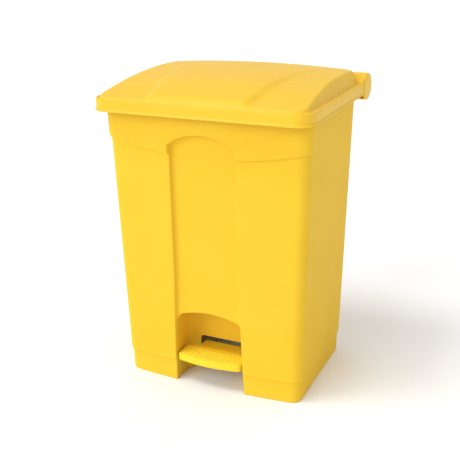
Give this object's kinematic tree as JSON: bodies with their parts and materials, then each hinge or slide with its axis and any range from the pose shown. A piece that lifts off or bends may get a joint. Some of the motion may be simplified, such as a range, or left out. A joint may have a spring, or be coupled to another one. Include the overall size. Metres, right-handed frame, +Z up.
{
  "type": "pedal bin",
  "caption": "Free-standing yellow plastic pedal bin with a domed hinged lid, opened by a foot pedal, a steel lever and a push rod up the back.",
  "frame": {"origin": "on the floor, at the centre of the overall box in plan", "axes": "+Z up, -Y the front with the pedal, +X to the right seen from the front"},
  "size_m": [0.4714, 0.4084, 0.67],
  "materials": {
    "body_plastic": "satin moulded polyethylene",
    "lid_plastic": "satin moulded polyethylene",
    "pedal_plastic": "satin moulded polypropylene",
    "steel": "zinc-plated steel",
    "zinc_fixings": "bright zinc-plated fixings",
    "black_nylon": "moulded nylon"
  },
  "bodies": {
    "bin": {"body_shell": "body_plastic", "hinge_pin_left": "steel", "hinge_pin_right": "steel", "rod_guide_lower": "black_nylon", "guide_screw_lower_left": "zinc_fixings", "guide_screw_lower_right": "zinc_fixings", "rod_guide_upper": "black_nylon", "guide_screw_upper_left": "zinc_fixings", "guide_screw_upper_right": "zinc_fixings", "axle_bracket_left": "steel", "axle_bush_left": "black_nylon", "bracket_screw_front_left": "zinc_fixings", "bracket_screw_rear_left": "zinc_fixings", "axle_bracket_right": "steel", "axle_bush_right": "black_nylon", "bracket_screw_front_right": "zinc_fixings", "bracket_screw_rear_right": "zinc_fixings"},
    "lid": {"lid_shell": "lid_plastic", "lid_link_bracket": "steel", "lid_bracket_screw_left": "zinc_fixings", "lid_bracket_screw_right": "zinc_fixings"},
    "lever": {"lever_frame": "steel", "pedal_tread": "pedal_plastic", "pivot_axle": "steel", "link_pin": "steel", "pedal_screw_front_left": "zinc_fixings", "pedal_screw_front_right": "zinc_fixings", "pedal_screw_rear_left": "zinc_fixings", "pedal_screw_rear_right": "zinc_fixings", "axle_cap_left": "zinc_fixings", "axle_cap_right": "zinc_fixings", "link_pin_clip_left": "zinc_fixings", "link_pin_clip_right": "zinc_fixings", "link_spacer_left": "black_nylon", "link_spacer_right": "black_nylon"},
    "rod": {"push_rod": "steel", "top_pin": "steel", "top_pin_clip_left": "zinc_fixings", "top_pin_clip_right": "zinc_fixings"}
  },
  "joints": [
    {"name": "lid_hinge", "type": "hinge", "parent": "bin", "child": "lid", "pos_m": [0, 0.1752, 0.618], "axis": [-1, 0, 0], "range_deg": [0, 75]},
    {"name": "pedal_pivot", "type": "hinge", "parent": "bin", "child": "lever", "pos_m": [0, 0, 0.045], "axis": [1, 0, 0], "range_deg": [0, 14.37]},
    {"name": "rod_link", "type": "hinge", "parent": "lever", "child": "rod", "pos_m": [0, 0.14, 0.02735], "axis": [-1, 0, 0], "range_deg": [0, 14.37]}
  ],
  "couplings": [
    {"joint": "pedal_pivot", "follows": "lid_hinge", "ratio": 0.19159},
    {"joint": "rod_link", "follows": "lid_hinge", "ratio": 0.19159}
  ]
}
